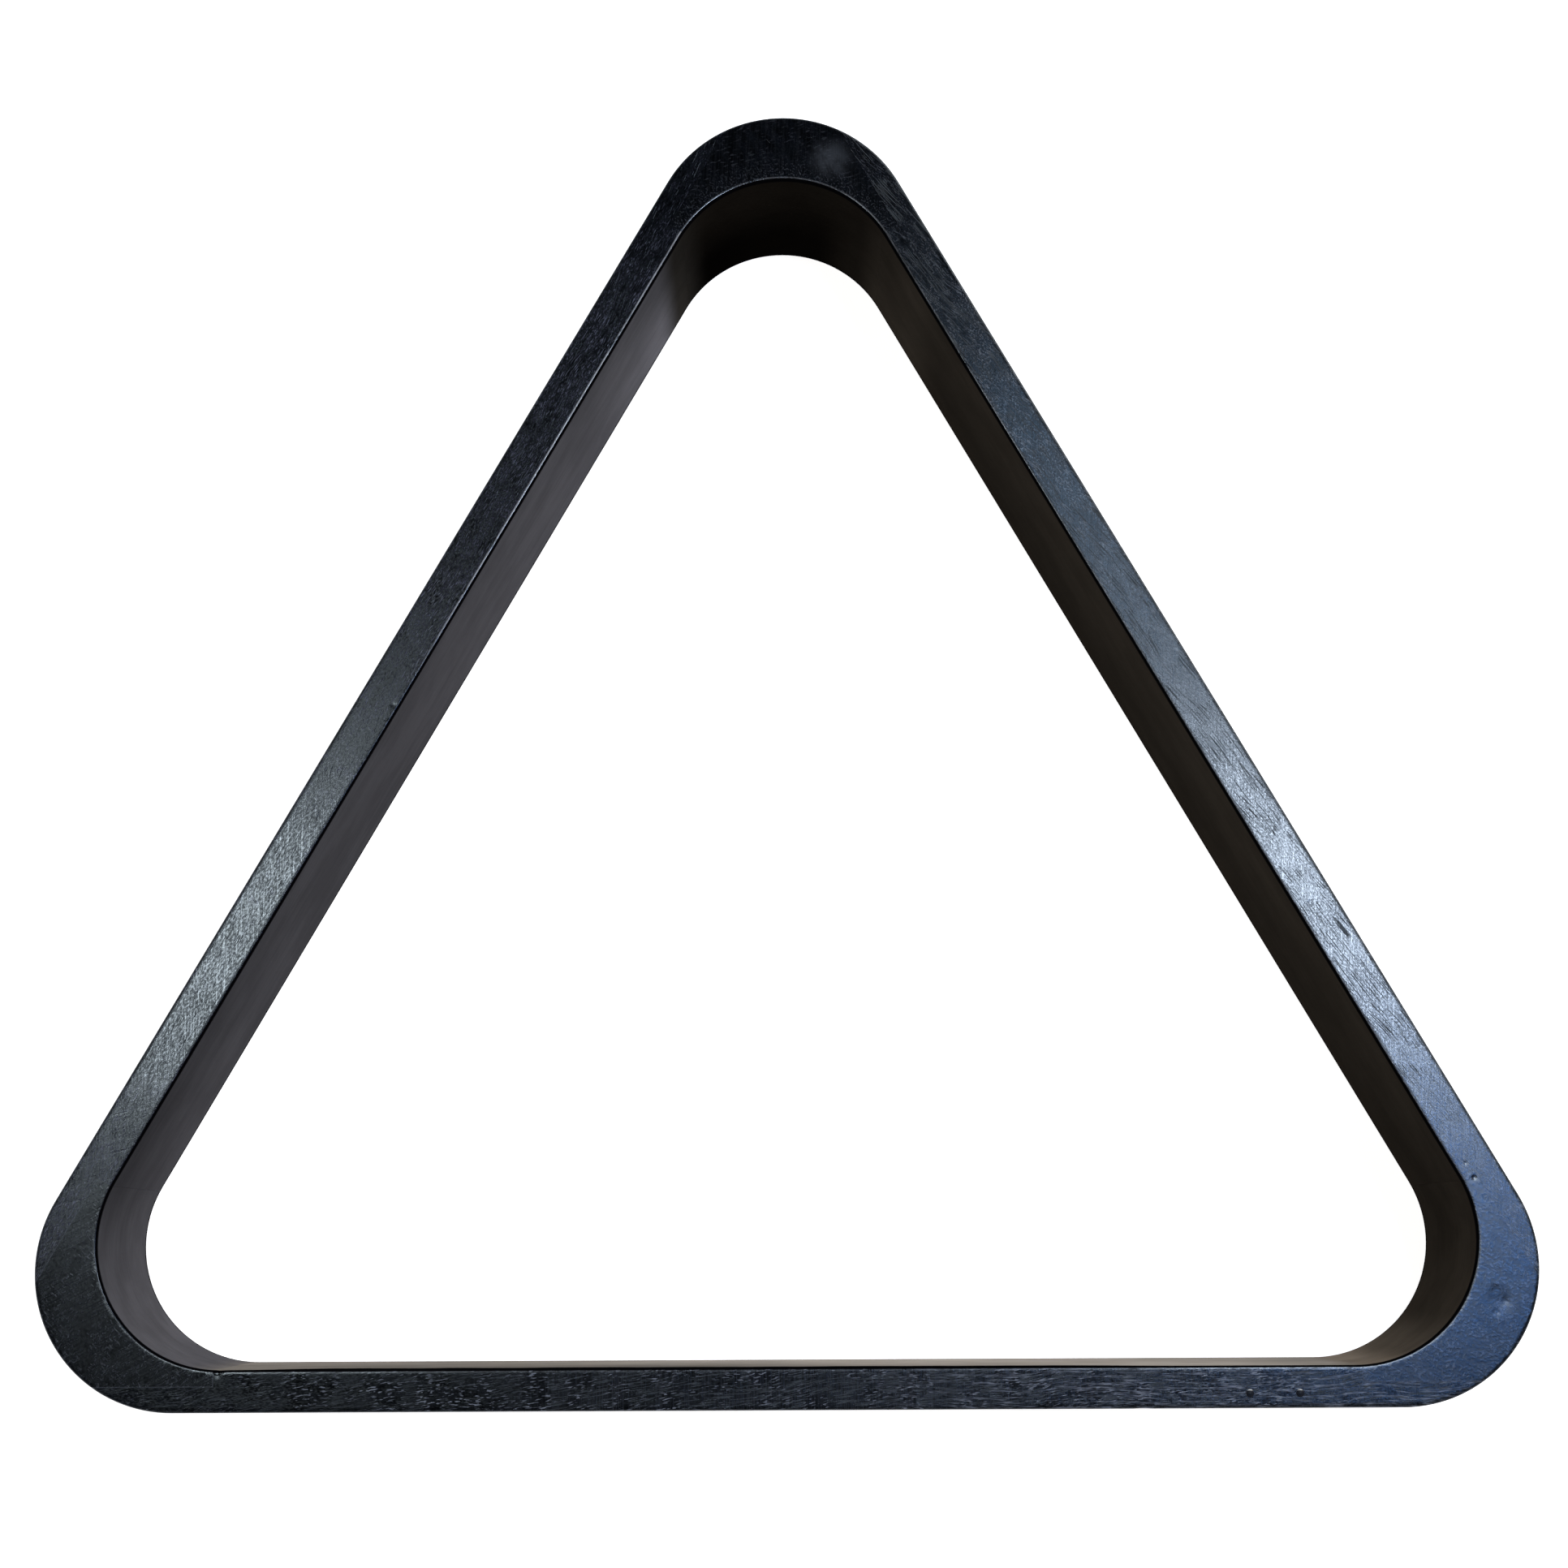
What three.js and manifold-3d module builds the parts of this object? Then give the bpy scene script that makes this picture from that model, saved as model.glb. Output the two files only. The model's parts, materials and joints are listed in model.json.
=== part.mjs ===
// Wooden triangle rack for fifteen pool balls.
//
// Three straight rails are joined by three curved corner blocks. Each rail is rebated on its inner side at both
// ends, so that the outer part of its thickness, the tongue, runs on to the rounded outside of the corner, and
// the corner block is glued into the rebate. Two brad pins are driven into one flat face of the bottom rail.
//
// Millimetres, +Z up. The rack lies flat on z = 0 with its apex towards +Y and its bottom rail along X. The
// origin is the middle of its footprint. Plans are drawn round the middle of the ball triangle.

import Module from "manifold-3d";
import * as THREE from "three";
import { mergeVertices } from "three/addons/utils/BufferGeometryUtils.js";

// Driving dimensions
const BALL_DIAMETER = 57.15;
const BALLS_PER_SIDE = 5;
const BALL_PLAY = 0.6; // between the racked balls and each rail
const RAIL_THICKNESS = 8.8;
const HEIGHT = 54;
const INNER_CORNER_RADIUS = 26.3;
const OUTER_CORNER_RADIUS = 29.5;
const EDGE_ROUND = 0.5; // radius of every long edge, inside and outside, top and bottom

const TONGUE_THICKNESS = 5.4; // the part of a rail that runs on behind a corner block
const SHOULDER_SETBACK = 1.2; // from the start of the inner curve to the end of a rail's full thickness
const GLUE_GAP = 0.1; // glue line between a rail and a block, and clearance round a pin

const PIN_LENGTH = 22;
const PIN_SHANK_RADIUS = 0.55;
const PIN_HEAD_RADIUS = 0.85;
const PIN_HEAD_DEPTH = 0.5;
const PIN_DOME = 0.35; // how far the painted head stands above the flat face
const PIN_POINT = 1.5;
const PIN_SPACING = 10.5;
const PIN_FROM_SHOULDER = 13.3;
const PIN_FROM_OUTSIDE = 3.1;

const ARC_STEPS = 12; // pairs of facets on each corner's arc
const EDGE_STEPS = 3;
const PIN_SIDES = 16;
const DOME_STEPS = 3;

// Derived dimensions
const SIDES = 3;
const TURN = (2 * Math.PI) / SIDES;
const ROOT_3 = Math.sqrt(3);
const INNER_APOTHEM = ((BALLS_PER_SIDE - 1) * BALL_DIAMETER) / (2 * ROOT_3) + BALL_DIAMETER / 2 + BALL_PLAY;
const OUTER_APOTHEM = INNER_APOTHEM + RAIL_THICKNESS;
const SEAM_APOTHEM = OUTER_APOTHEM - TONGUE_THICKNESS;
const SHOULDER = ROOT_3 * (INNER_APOTHEM - INNER_CORNER_RADIUS) + SHOULDER_SETBACK;
const INSIDE_HOLLOW = INNER_APOTHEM - INNER_CORNER_RADIUS / 2; // a plan that stops here clears every other rail
const APEX_REACH = 2 * (OUTER_APOTHEM - OUTER_CORNER_RADIUS) + OUTER_CORNER_RADIUS;
const FOOTPRINT_MIDDLE = (APEX_REACH - OUTER_APOTHEM) / 2;
const CUT_MARGIN = 2; // how far a cutting prism passes the faces that it cuts

const wasm = await Module();
wasm.setup();

// A closed three.js geometry as a solid that can be cut and joined.
function solidOf(geometry) {
  const bare = geometry.clone();
  bare.deleteAttribute("normal");
  bare.deleteAttribute("uv");
  const merged = mergeVertices(bare);
  const vertProperties = new Float32Array(merged.attributes.position.array);
  const triVerts = new Uint32Array(merged.index.array);
  return new wasm.Manifold(new wasm.Mesh({ numProp: 3, vertProperties, triVerts }));
}

function geometryOf(solid) {
  const made = solid.getMesh();
  const geometry = new THREE.BufferGeometry();
  geometry.setAttribute("position", new THREE.BufferAttribute(made.vertProperties, made.numProp));
  geometry.setIndex(new THREE.BufferAttribute(made.triVerts, 1));
  geometry.computeVertexNormals();
  return geometry;
}

// Adds to a path a triangle of the given apothem with its three corners rounded.
function roundedTriangle(path, apothem, radius) {
  const reach = 2 * (apothem - radius);
  for (let corner = 0; corner < SIDES; corner += 1) {
    const facing = Math.PI / 2 + corner * TURN;
    const x = reach * Math.cos(facing);
    const y = reach * Math.sin(facing);
    path.absarc(x, y, radius, facing - TURN / 2, facing + TURN / 2, false);
  }
  path.closePath();
  return path;
}

// The whole triangle as one ring with its long edges rounded, before it is divided into pieces.
function ring() {
  const outline = roundedTriangle(new THREE.Shape(), OUTER_APOTHEM, OUTER_CORNER_RADIUS);
  outline.holes.push(roundedTriangle(new THREE.Path(), INNER_APOTHEM, INNER_CORNER_RADIUS));
  const geometry = new THREE.ExtrudeGeometry(outline, {
    depth: HEIGHT - 2 * EDGE_ROUND,
    curveSegments: ARC_STEPS,
    bevelThickness: EDGE_ROUND,
    bevelSize: EDGE_ROUND,
    bevelOffset: -EDGE_ROUND,
    bevelSegments: EDGE_STEPS,
  });
  return solidOf(geometry.translate(0, 0, EDGE_ROUND));
}

// A prism over a plan, taller than the rack, turned from the bottom rail's place to another side.
function cuttingPrism(plan, turn) {
  const outline = new THREE.Shape(plan.map(([x, y]) => new THREE.Vector2(x, y)));
  const depth = HEIGHT + 2 * CUT_MARGIN;
  const geometry = new THREE.ExtrudeGeometry(outline, { depth, bevelEnabled: false });
  return solidOf(geometry.translate(0, 0, -CUT_MARGIN).rotateZ(turn));
}

// The bottom rail's share of the ring: full thickness between its shoulders, and only the tongue beyond them.
function railPlan() {
  const end = ROOT_3 * OUTER_APOTHEM;
  const outside = -OUTER_APOTHEM - CUT_MARGIN;
  const seam = -SEAM_APOTHEM - GLUE_GAP / 2;
  const shoulder = SHOULDER - GLUE_GAP / 2;
  const half = [
    [end, outside],
    [end, seam],
    [shoulder, seam],
    [shoulder, -INSIDE_HOLLOW],
  ];
  const otherHalf = half.map(([x, y]) => [-x, y]).reverse();
  return [...half, ...otherHalf];
}

// The bottom right corner block's share of the ring, between the seams of the two rails that it joins.
function cornerPlan() {
  const seam = -SEAM_APOTHEM + GLUE_GAP / 2;
  const shoulder = SHOULDER + GLUE_GAP / 2;
  const half = [
    [shoulder, -INSIDE_HOLLOW],
    [shoulder, seam],
  ];
  const mirror = ([x, y]) => [(x - ROOT_3 * y) / 2, (-ROOT_3 * x - y) / 2];
  const otherHalf = half.map(mirror).reverse();
  return [...half, [-ROOT_3 * seam, seam], ...otherHalf];
}

// Half-section of a brad pin from its point to the top of its domed head, widened by a clearance for its hole.
function pinProfile(clearance) {
  const shank = PIN_SHANK_RADIUS + clearance;
  const head = PIN_HEAD_RADIUS + clearance;
  const underHead = HEIGHT - PIN_HEAD_DEPTH - clearance;
  const point = HEIGHT - PIN_LENGTH - clearance;
  const profile = [
    new THREE.Vector2(0, point),
    new THREE.Vector2(shank, point + PIN_POINT),
    new THREE.Vector2(shank, underHead),
    new THREE.Vector2(head, underHead),
  ];
  for (let step = 0; step <= DOME_STEPS; step += 1) {
    const angle = (step / DOME_STEPS) * (Math.PI / 2);
    const radius = step === DOME_STEPS ? 0 : head * Math.cos(angle);
    profile.push(new THREE.Vector2(radius, HEIGHT + PIN_DOME * Math.sin(angle)));
  }
  return profile;
}

// One brad pin driven into the bottom rail, or with a clearance the hole that it is driven into.
function pinSolid(x, clearance = 0) {
  const geometry = new THREE.LatheGeometry(pinProfile(clearance), PIN_SIDES).rotateX(Math.PI / 2);
  return solidOf(geometry.translate(x, PIN_FROM_OUTSIDE - OUTER_APOTHEM, 0));
}

function piece(name, solid, color, roughness, metalness = 0) {
  const material = new THREE.MeshStandardMaterial({ color, roughness, metalness });
  const mesh = new THREE.Mesh(geometryOf(solid), material);
  mesh.name = name;
  return mesh;
}

function railPiece(name, turn, color) {
  return piece(name, whole.intersect(cuttingPrism(railPlan(), turn)), color, 0.45);
}

function cornerPiece(name, turn, color) {
  return piece(name, whole.intersect(cuttingPrism(cornerPlan(), turn)), color, 0.4);
}

const whole = ring();

const outerPinX = SHOULDER - PIN_FROM_SHOULDER;
const innerPinX = outerPinX - PIN_SPACING;
const bottomRail = whole
  .intersect(cuttingPrism(railPlan(), 0))
  .subtract(pinSolid(innerPinX, GLUE_GAP))
  .subtract(pinSolid(outerPinX, GLUE_GAP));

const rack = new THREE.Group();
rack.add(
  piece("bottom_rail", bottomRail, 0x232932, 0.45),
  railPiece("right_rail", TURN, 0x2a323d),
  railPiece("left_rail", -TURN, 0x272d34),
  cornerPiece("right_corner_block", 0, 0x2b3544),
  cornerPiece("apex_block", TURN, 0x15171a),
  cornerPiece("left_corner_block", -TURN, 0x1e2530),
  piece("brad_pin_inner", pinSolid(innerPinX), 0x30363f, 0.35, 0.6),
  piece("brad_pin_outer", pinSolid(outerPinX), 0x30363f, 0.35, 0.6),
);
rack.position.y = -FOOTPRINT_MIDDLE;

export default rack;
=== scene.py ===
import json
import math

import bmesh
import bpy
import numpy as np
from mathutils import Euler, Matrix, Vector, geometry, noise


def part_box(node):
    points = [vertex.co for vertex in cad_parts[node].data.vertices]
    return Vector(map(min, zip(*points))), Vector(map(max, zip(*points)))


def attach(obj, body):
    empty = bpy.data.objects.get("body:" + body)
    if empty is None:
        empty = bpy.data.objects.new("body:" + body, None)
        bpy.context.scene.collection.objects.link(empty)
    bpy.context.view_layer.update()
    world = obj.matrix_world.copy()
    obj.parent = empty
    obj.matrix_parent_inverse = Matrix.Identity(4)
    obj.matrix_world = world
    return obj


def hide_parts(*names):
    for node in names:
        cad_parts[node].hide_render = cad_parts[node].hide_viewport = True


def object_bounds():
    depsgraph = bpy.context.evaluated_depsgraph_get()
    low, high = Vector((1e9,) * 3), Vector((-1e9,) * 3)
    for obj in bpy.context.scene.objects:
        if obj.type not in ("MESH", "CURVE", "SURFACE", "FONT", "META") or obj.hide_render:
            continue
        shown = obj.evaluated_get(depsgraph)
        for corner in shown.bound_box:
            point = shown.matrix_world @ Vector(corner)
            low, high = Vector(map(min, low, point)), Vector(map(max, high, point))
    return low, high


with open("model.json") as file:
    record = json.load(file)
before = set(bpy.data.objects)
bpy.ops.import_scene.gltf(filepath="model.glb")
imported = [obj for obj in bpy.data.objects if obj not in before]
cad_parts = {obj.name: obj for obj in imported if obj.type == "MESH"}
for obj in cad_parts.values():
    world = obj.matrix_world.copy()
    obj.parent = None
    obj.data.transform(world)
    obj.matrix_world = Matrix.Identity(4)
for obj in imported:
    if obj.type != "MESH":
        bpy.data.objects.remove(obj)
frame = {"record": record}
cad_low, cad_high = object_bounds()

# A black-stained wooden triangle rack, seen from above its flat face. Metres, in the frame of the packed
# model: +Z up, the rack lying on z = 0 with its apex towards +Y. Plans are drawn round the middle of the
# ball triangle, on the bottom rail or the bottom right corner, and turned by a third of a circle for the
# other sides.

MM = 0.001
ROOT_3 = math.sqrt(3)
SIXTY = math.radians(60)
TURN = math.radians(120)

# Sizes from the frame
mounts = {mount["name"]: mount["pos_m"] for mount in frame["record"]["mounts"]}
rail_low, rail_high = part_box("bottom_rail")
block_low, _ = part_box("right_corner_block")
INNER = mounts["ball_face_right"][0] / math.cos(SIXTY / 2)
MIDDLE_Y = mounts["ball_face_bottom"][1] + INNER
OUTER = MIDDLE_Y - rail_low.y
HEIGHT = rail_high.z
OUTER_RADIUS = (ROOT_3 * OUTER - cad_high.x) / (ROOT_3 - 1)
CAD_GAP = 0.1 * MM
SHOULDER = block_low.x - CAD_GAP / 2
SEAM = MIDDLE_Y - block_low.y + CAD_GAP / 2

# Sizes of what the frame doesn't state
INNER_RADIUS = 26.3 * MM
EDGE_ROUND = 0.5 * MM
GLUE_LINE = 0.03 * MM
PIN_HEAD_DEPTH = 0.5 * MM
PIN_SHANK_RADIUS = 0.55 * MM
PIN_POINT = 1.5 * MM
PIN_POINT_SHARE = 0.15

# Unevenness of the upper face: a swell that all pieces share, and dents as plan place, radius and push, in
# mm. The first four dents are one shallow hollow with three smaller ones in it.
SWELL_HEIGHT = 0.04 * MM
SWELL_LENGTH = 24 * MM
RELIEF_DEPTH = 3 * MM
DENTS = [
    ((149.8, -81.9), 3.8, (0, 0, -0.05)),
    ((148.8, -79.4), 1.3, (0, 0, -0.02)),
    ((150.9, -82.0), 1.2, (0, 0, -0.025)),
    ((148.9, -84.4), 1.2, (0, 0, -0.02)),
    ((145.3, -56.2), 0.7, (0, 0, -0.06)),
    ((143.6, -53.1), 0.6, (0, 0, -0.03)),
    ((74.2, -103.9), 1.3, (0, 0.2, -0.2)),
    ((-119.6, -95.4), 1.2, (0, -0.15, -0.15)),
    ((-31.0, -99.5), 0.9, (0, 0, -0.03)),
    ((26.5, -97.6), 0.8, (0, 0, -0.04)),
    ((112.3, 2.4), 0.9, (0, 0, -0.03)),
    ((-84.6, 46.0), 1.0, (0, 0, -0.03)),
]

# Fineness of the meshes
EDGE_STEPS = 5
WALL_STEP = 3.2 * MM
ALONG_STEP = 1.5 * MM
TOP_GRID = 0.7 * MM
UNDER_GRID = 1.1 * MM
DENT_STEPS = 6
DOME_STEPS = 6
PIN_SIDES = 24

# How far the grid of a flat face keeps clear of its outline and of a hole, as shares of the grid's step
CLEAR_OF_OUTLINE = 0.2
CLEAR_OF_HOLE = 0.4

# The angle above which an edge is shaded sharp, and how upright the normal of a wall's face may be
SHARP_ANGLE = math.radians(40)
UPRIGHT = 0.98

INNER_CENTRE = (ROOT_3 * (INNER - INNER_RADIUS), -(INNER - INNER_RADIUS))
OUTER_CENTRE = (ROOT_3 * (OUTER - OUTER_RADIUS), -(OUTER - OUTER_RADIUS))
CURVE_LENGTH = TURN * (INNER_RADIUS + OUTER_RADIUS) / 2
SIDE_LENGTH = 2 * INNER_CENTRE[0] + CURVE_LENGTH


# ---------------------------------------------------------------- plans

def line(start, end, count):
    """Points from start towards end, without the end itself."""
    return [tuple(np.add(start, np.subtract(end, start) * k / count)) for k in range(count)]


def arc(centre, radius, start, end, count):
    """Points on an arc from one angle towards another, without the last."""
    angles = [start + (end - start) * k / count for k in range(count)]
    return [(centre[0] + radius * math.cos(a), centre[1] + radius * math.sin(a)) for a in angles]


def mirrored(points):
    """Points reflected in the bisector of the bottom right corner, in reverse order."""
    return [((x - ROOT_3 * y) / 2, (-ROOT_3 * x - y) / 2) for x, y in reversed(points)]


def joint_points(inset, gap):
    """Where a rail and the block beside it meet: on the hollow, inside the corner and on the outside."""
    x, y = SHOULDER + gap, -SEAM + gap
    inner_angle = -math.acos((x - INNER_CENTRE[0]) / (INNER_RADIUS + inset))
    outer_angle = math.asin((y - OUTER_CENTRE[1]) / (OUTER_RADIUS - inset))
    on_hollow = (x, INNER_CENTRE[1] + (INNER_RADIUS + inset) * math.sin(inner_angle))
    on_outside = (OUTER_CENTRE[0] + (OUTER_RADIUS - inset) * math.cos(outer_angle), y)
    return on_hollow, (x, y), on_outside, inner_angle, outer_angle


# How many steps each stretch of an outline takes, the same at every inset so that the rings join
OUTER_STEPS = round(OUTER_CENTRE[0] / ALONG_STEP)
INNER_STEPS = round(INNER_CENTRE[0] / ALONG_STEP)
SHOULDER_STEPS = 4
TONGUE_STEPS = 10
TONGUE_ARC_STEPS = 12
BLOCK_ARC_STEPS = 18
HOLLOW_ARC_STEPS = 36


def rail_outline(inset):
    """The bottom rail's plan, anticlockwise, drawn in by an inset where it is on the rack's own outline."""
    on_hollow, corner, on_outside, inner_angle, outer_angle = joint_points(inset, -GLUE_LINE / 2)
    inner_y = -(INNER + inset)
    outer_y = -(OUTER - inset)
    right = line((0, outer_y), (OUTER_CENTRE[0], outer_y), OUTER_STEPS)
    right += arc(OUTER_CENTRE, OUTER_RADIUS - inset, -math.pi / 2, outer_angle, TONGUE_ARC_STEPS)
    right += line(on_outside, corner, TONGUE_STEPS)
    right += line(corner, on_hollow, SHOULDER_STEPS)
    right += arc(INNER_CENTRE, INNER_RADIUS + inset, inner_angle, -math.pi / 2, 1)
    right += line((INNER_CENTRE[0], inner_y), (0, inner_y), INNER_STEPS)
    left = [(-x, y) for x, y in reversed(right[1:])]
    return right + [(0, inner_y)] + left


def block_outline(inset):
    """The bottom right corner block's plan, anticlockwise, drawn in by an inset on the rack's own outline."""
    on_hollow, corner, on_outside, inner_angle, outer_angle = joint_points(inset, GLUE_LINE / 2)
    seam = line(on_hollow, corner, SHOULDER_STEPS) + line(corner, on_outside, TONGUE_STEPS) + [on_outside]
    end_angle = -SIXTY - outer_angle
    outside = arc(OUTER_CENTRE, OUTER_RADIUS - inset, outer_angle, end_angle, BLOCK_ARC_STEPS)[1:]
    start_angle = -SIXTY - inner_angle
    hollow = arc(INNER_CENTRE, INNER_RADIUS + inset, start_angle, inner_angle, HOLLOW_ARC_STEPS)[1:]
    return seam + outside + mirrored(seam) + hollow


def inside(points, outline):
    """Which of the points lie inside a closed outline."""
    x, y = points[:, 0:1], points[:, 1:2]
    x0, y0 = outline.T
    x1, y1 = np.roll(outline, -1, axis=0).T
    crosses = (y0 > y) != (y1 > y)
    slope = (x1 - x0) / np.where(y1 == y0, 1, y1 - y0)
    return np.sum(crosses & (x < x0 + (y - y0) * slope), axis=1) % 2 == 1


def distance_to(points, outline):
    """How far each point is from a closed outline."""
    start = outline[None]
    along = np.roll(outline, -1, axis=0)[None] - start
    offset = points[:, None] - start
    share = np.sum(offset * along, axis=2) / np.maximum(np.sum(along * along, axis=2), 1e-18)
    nearest = offset - np.clip(share, 0, 1)[..., None] * along
    return np.sqrt(np.min(np.sum(nearest * nearest, axis=2), axis=1))


def hex_grid(low, high, step):
    """Rows of points that make even triangles over a rectangle."""
    rows = []
    for k, y in enumerate(np.arange(low[1], high[1], step * ROOT_3 / 2)):
        xs = np.arange(low[0] + (k % 2) * step / 2, high[0], step)
        rows.append(np.column_stack([xs, np.full(len(xs), y)]))
    return np.concatenate(rows)


def triangulated(outline, step, holes=(), dents=()):
    """A flat face over an outline as points and triangles. The points of the outline and of the holes come
    first, in order."""
    outline = np.array(outline)
    low, high = outline.min(axis=0), outline.max(axis=0)
    grid = hex_grid(low, high, step)
    for centre, radius in dents:
        fine_grid = hex_grid(np.subtract(centre, radius), np.add(centre, radius), radius / DENT_STEPS)
        fine_grid = fine_grid[np.hypot(*(fine_grid - centre).T) < radius]
        grid = grid[np.hypot(*(grid - centre).T) > radius + step / 2]
        grid = np.concatenate([grid, fine_grid])
    grid = grid[inside(grid, outline)]
    grid = grid[distance_to(grid, outline) > CLEAR_OF_OUTLINE * step]
    rims = [outline]
    for hole in holes:
        hole = np.array(hole)
        grid = grid[~inside(grid, hole) & (distance_to(grid, hole) > CLEAR_OF_HOLE * step)]
        rims.append(hole)
    points = np.concatenate([*rims, grid])
    edges, first = [], 0
    for rim in rims:
        edges += [(first + k, first + (k + 1) % len(rim)) for k in range(len(rim))]
        first += len(rim)
    boundary = [list(range(len(outline)))]
    made = geometry.delaunay_2d_cdt([Vector(p) for p in points], edges, boundary, 1, 1e-9)
    triangles = np.array(made[2])
    centres = np.array([p[:] for p in made[0]])[triangles].mean(axis=1)
    for hole in rims[1:]:
        triangles = triangles[~inside(centres, hole)]
        centres = centres[~inside(centres, hole)]
    return np.array([p[:] for p in made[0]]), triangles


# ---------------------------------------------------------------- solids

def levels():
    """Inset and height of each ring of points from the underside to the top face."""
    turns = [math.pi / 2 * k / EDGE_STEPS for k in range(EDGE_STEPS + 1)]
    rounded = [(EDGE_ROUND * (1 - math.sin(a)), EDGE_ROUND * (1 - math.cos(a))) for a in turns]
    count = round((HEIGHT - 2 * EDGE_ROUND) / WALL_STEP)
    walls = [(0, EDGE_ROUND + (HEIGHT - 2 * EDGE_ROUND) * k / count) for k in range(1, count)]
    return rounded + walls + [(inset, HEIGHT - z) for inset, z in reversed(rounded)]


def circle(centre, radius):
    return arc(centre, radius, 0, 2 * math.pi, PIN_SIDES)


def ring_of(bm, points, z):
    """New vertices of a mesh at the points of a plan."""
    return [bm.verts.new((x, y, z)) for x, y in points]


def join_rings(bm, first, second):
    """Faces between two rings of the same number of vertices."""
    for k in range(len(first)):
        n = (k + 1) % len(first)
        bm.faces.new((first[k], first[n], second[n], second[k]))


def plan_solid(outline_at, holes=(), dents=()):
    """A closed mesh over a plan: rounded long edges, walls, and a fine flat face above and below. A hole is
    a centre and a profile, radius and depth by radius and depth, and goes down from the upper face."""
    rings = [(outline_at(inset), z) for inset, z in levels()]
    bm = bmesh.new()
    loops = [ring_of(bm, ring, z) for ring, z in rings]
    for lower, upper in zip(loops, loops[1:]):
        join_rings(bm, lower, upper)
    bores = [
        [ring_of(bm, circle(centre, radius), HEIGHT - depth) for radius, depth in profile]
        for centre, profile in holes
    ]
    mouths = [circle(centre, profile[0][0]) for centre, profile in holes]
    under_face = (loops[0], rings[0], UNDER_GRID, (), ())
    upper_face = (loops[-1], rings[-1], TOP_GRID, mouths, dents)
    for loop, (outline, z), step, rims, marks in (under_face, upper_face):
        points, triangles = triangulated(outline, step, rims, marks)
        known = list(loop)
        if rims:
            known += [v for bore in bores for v in bore[0]]
        known += ring_of(bm, points[len(known):], z)
        for triangle in triangles:
            bm.faces.new([known[k] for k in triangle])
    for bore in bores:
        for upper, lower in zip(bore, bore[1:]):
            join_rings(bm, upper, lower)
        bm.faces.new(bore[-1])
    bmesh.ops.recalc_face_normals(bm, faces=bm.faces)
    return bm


def relief(bm):
    """Lets the upper face undulate a little below its full height, as one surface through all pieces, and
    dents it."""
    for v in bm.verts:
        share = min(max((v.co.z - HEIGHT) / RELIEF_DEPTH + 1, 0), 1)
        if share:
            swell = noise.noise(Vector((v.co.x, v.co.y, 0)) / SWELL_LENGTH)
            v.co.z -= share * SWELL_HEIGHT * (0.5 + 0.5 * swell)
    for (x, y), radius, push in DENTS:
        centre = Vector((x * MM, y * MM + MIDDLE_Y, HEIGHT))
        for v in bm.verts:
            near = (v.co - centre).length / (radius * MM)
            if near < 1:
                v.co += Vector(push) * MM * (1 - near * near) ** 2


def place(bm, turn):
    """Turns a mesh from the bottom rail's side to another and moves it into the frame."""
    bmesh.ops.rotate(bm, verts=bm.verts, matrix=Euler((0, 0, turn)).to_matrix())
    bmesh.ops.translate(bm, verts=bm.verts, vec=(0, MIDDLE_Y, 0))


def finish_piece(name, bm, material, nodes):
    """Makes an object of a mesh, and hides the CAD nodes it stands for."""
    mesh = bpy.data.meshes.new(name)
    bm.to_mesh(mesh)
    bm.free()
    mesh.shade_smooth()
    mesh.set_sharp_from_angle(angle=SHARP_ANGLE)
    mesh.materials.append(material)
    piece = bpy.data.objects.new(name, mesh)
    bpy.context.scene.collection.objects.link(piece)
    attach(piece, "root")
    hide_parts(*nodes)
    return piece


# ---------------------------------------------------------------- materials

def rgb(red, green, blue):
    return (red, green, blue, 1.0)


def tinted(tint, pale):
    return rgb(*(pale * part for part in tint))


# How far along a rail a change of its looks takes, in mm
CHANGE_LENGTH = 40

# The range of noise that lines wander over, how many times as deep as wide a stroke is, and how far up or
# down a normal points where a wall turns into a face
WANDER_RANGE = (0.2, 0.8)
STROKE_DEPTH = 6
FACING_UP_RANGE = (0.68, 0.72)


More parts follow.
